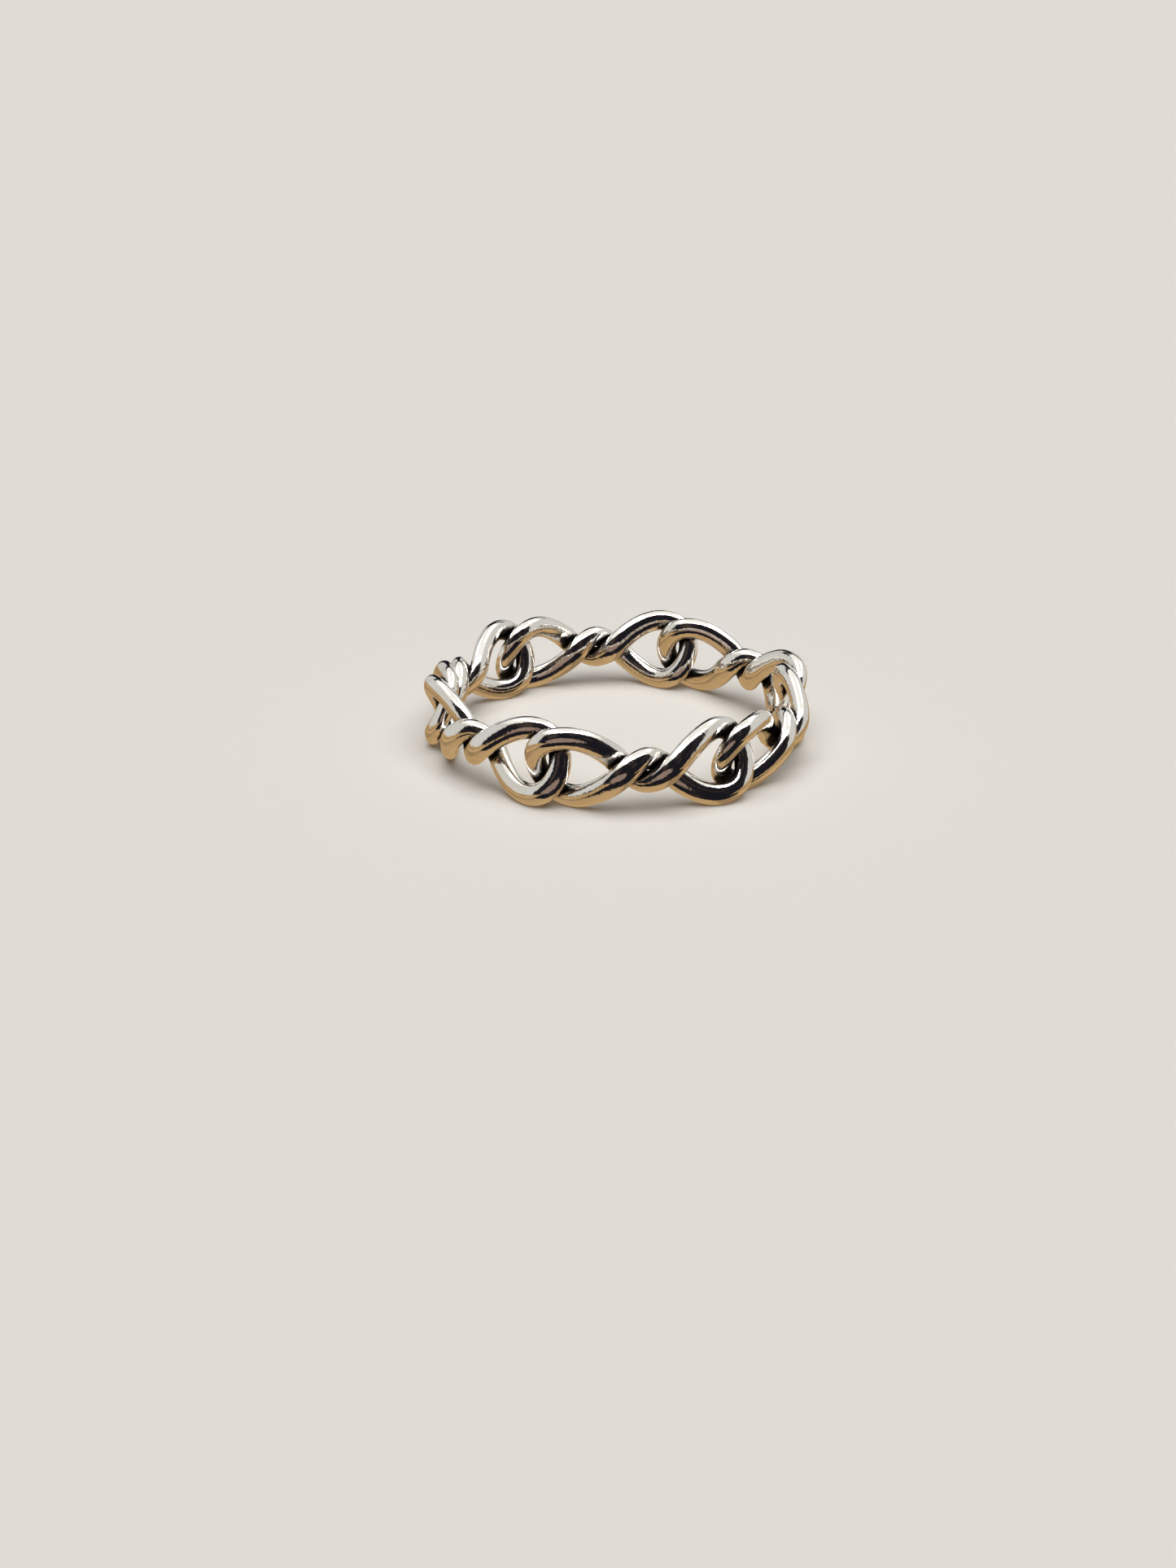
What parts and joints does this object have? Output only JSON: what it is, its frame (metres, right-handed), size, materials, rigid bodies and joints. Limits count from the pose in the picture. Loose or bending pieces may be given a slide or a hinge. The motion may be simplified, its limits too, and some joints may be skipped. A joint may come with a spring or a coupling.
{
  "type": "linked finger ring",
  "caption": "Finger ring of twisted silver wire links, each link's end eyes hooked through its neighbours' all the way round.",
  "frame": {"origin": "centre of the ring, halfway through its width", "axes": "+Z along the finger, out of the hole; -Y through the middle of link_1, the front; the pattern repeats every 60 degrees about Z"},
  "size_m": [0.0212, 0.021, 0.0044],
  "materials": {
    "silver": "polished sterling silver, darkened in the recesses"
  },
  "bodies": {
    "link_1": {"link_1": "silver"},
    "link_2": {"link_2": "silver"},
    "link_3": {"link_3": "silver"},
    "link_4": {"link_4": "silver"},
    "link_5": {"link_5": "silver"},
    "link_6": {"link_6": "silver"}
  },
  "joints": [
    {"name": "interlock_3_4", "type": "hinge", "parent": "link_3", "child": "link_4", "pos_m": [0.00481, 0.00833, 0], "axis": [0, 0, 1], "range_deg": [-10, 10]},
    {"name": "interlock_4_5", "type": "hinge", "parent": "link_4", "child": "link_5", "pos_m": [-0.00481, 0.00833, 0], "axis": [0, 0, 1], "range_deg": [-5, 5]},
    {"name": "interlock_5_6", "type": "hinge", "parent": "link_5", "child": "link_6", "pos_m": [-0.00962, 0, 0], "axis": [0, 0, 1], "range_deg": [-5, 5]},
    {"name": "interlock_2_3", "type": "hinge", "parent": "link_3", "child": "link_2", "pos_m": [0.00962, 0, 0], "axis": [0, 0, -1], "range_deg": [-5, 5]},
    {"name": "interlock_1_2", "type": "hinge", "parent": "link_2", "child": "link_1", "pos_m": [0.00481, -0.00833, 0], "axis": [0, 0, -1], "range_deg": [-5, 5]}
  ],
  "couplings": [
    {"joint": "interlock_4_5", "follows": "interlock_3_4", "ratio": -0.5},
    {"joint": "interlock_5_6", "follows": "interlock_3_4", "ratio": -0.5},
    {"joint": "interlock_2_3", "follows": "interlock_3_4", "ratio": -0.5},
    {"joint": "interlock_1_2", "follows": "interlock_3_4", "ratio": -0.5}
  ]
}
